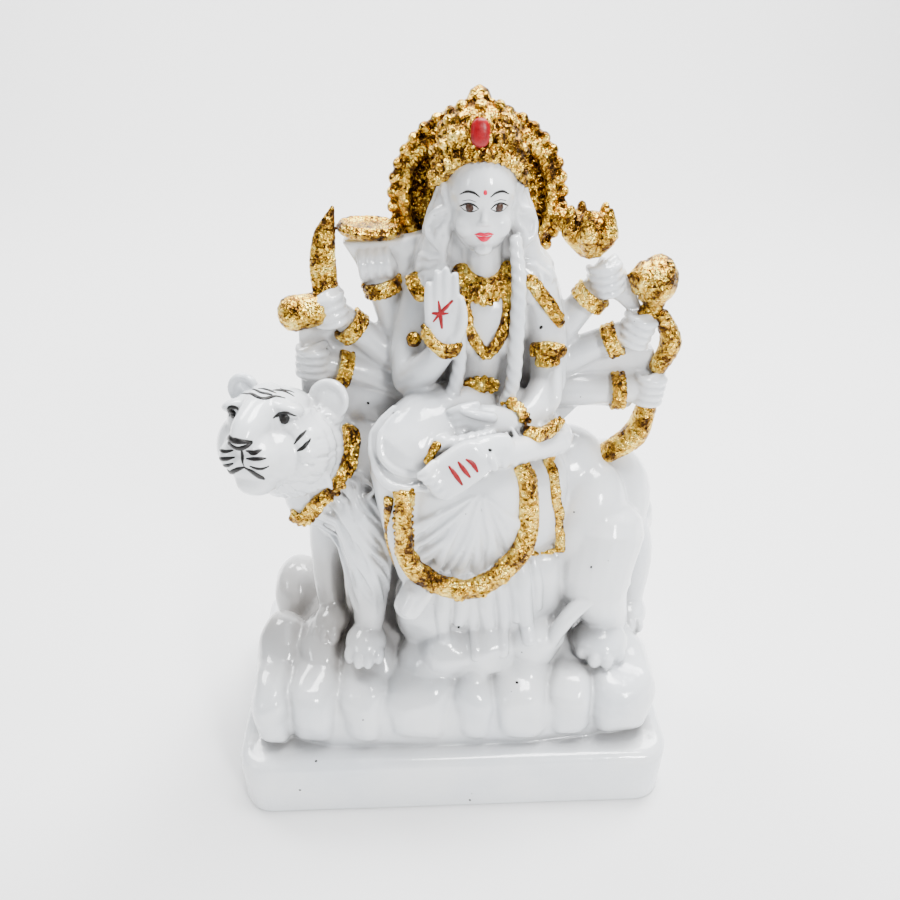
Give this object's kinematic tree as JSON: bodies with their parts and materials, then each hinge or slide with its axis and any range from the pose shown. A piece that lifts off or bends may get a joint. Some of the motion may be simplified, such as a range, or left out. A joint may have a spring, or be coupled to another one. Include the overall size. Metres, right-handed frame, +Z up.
{
  "type": "seated goddess on tiger figurine",
  "caption": "Cast resin figurine of a many-armed goddess seated on a standing tiger, on a rock mound and a rounded plinth, white with gilded relief.",
  "frame": {"origin": "centre of the plinth's flat underside, on the surface it stands on", "axes": "+Z up, -Y towards the viewer and the goddess's front, +X to the viewer's right"},
  "size_m": [0.1308, 0.08, 0.199],
  "materials": {
    "white_resin": "glossy cool-white marble-dust polyester resin",
    "gold_paint": "metallic foil-like gold paint on raised ornament",
    "red_paint": "gloss enamel strokes and a red jewel",
    "black_paint": "gloss enamel strokes"
  },
  "bodies": {
    "root": {"durga_figure": "white_resin"}
  },
  "joints": []
}
